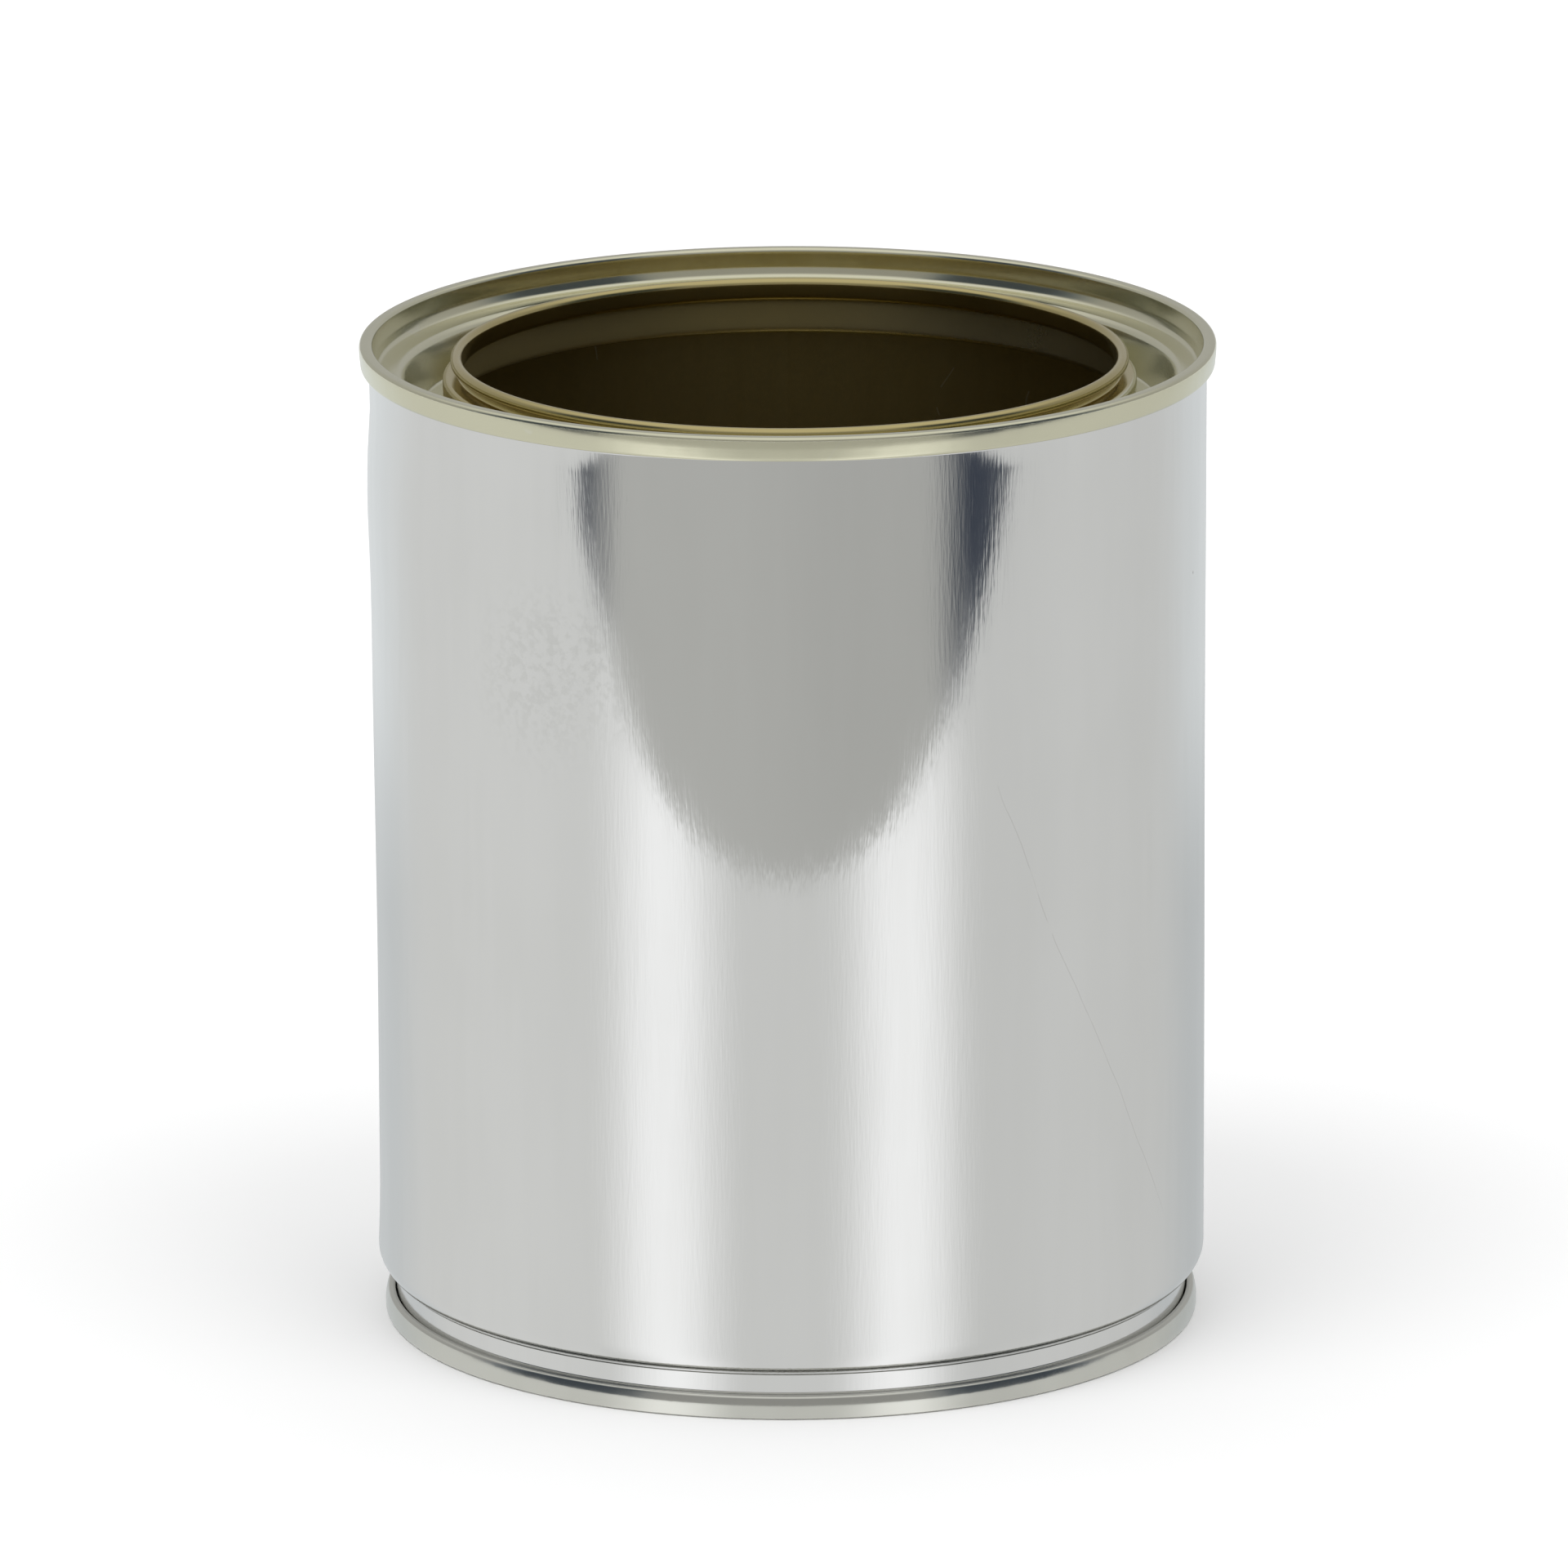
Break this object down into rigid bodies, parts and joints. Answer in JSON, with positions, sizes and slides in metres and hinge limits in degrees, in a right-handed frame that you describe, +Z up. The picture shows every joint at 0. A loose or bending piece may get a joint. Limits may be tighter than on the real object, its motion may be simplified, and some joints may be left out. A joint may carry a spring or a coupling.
{
  "type": "paint can",
  "caption": "Round lever-lid paint can in tinplate, shown open: necked-in body, recessed lacquered top ring with a curled mouth, seamed bottom end.",
  "frame": {"origin": "centre of the circle that the can stands on, at the bottom of the lower double seam", "axes": "+Z up along the can's axis, out of the mouth; the welded side seam is at +Y, the back"},
  "size_m": [0.1016, 0.1016, 0.119],
  "materials": {
    "tinplate": "bright rolled tinplate with fine vertical grain",
    "gold_lacquer": "tinplate under a clear gold lacquer",
    "end_tinplate": "satin tinplate",
    "compound": "matt sealing compound"
  },
  "bodies": {
    "root": {"can_body": "tinplate", "top_ring": "gold_lacquer", "bottom_end": "end_tinplate", "top_seam_compound": "compound", "bottom_seam_compound": "compound"}
  },
  "joints": []
}
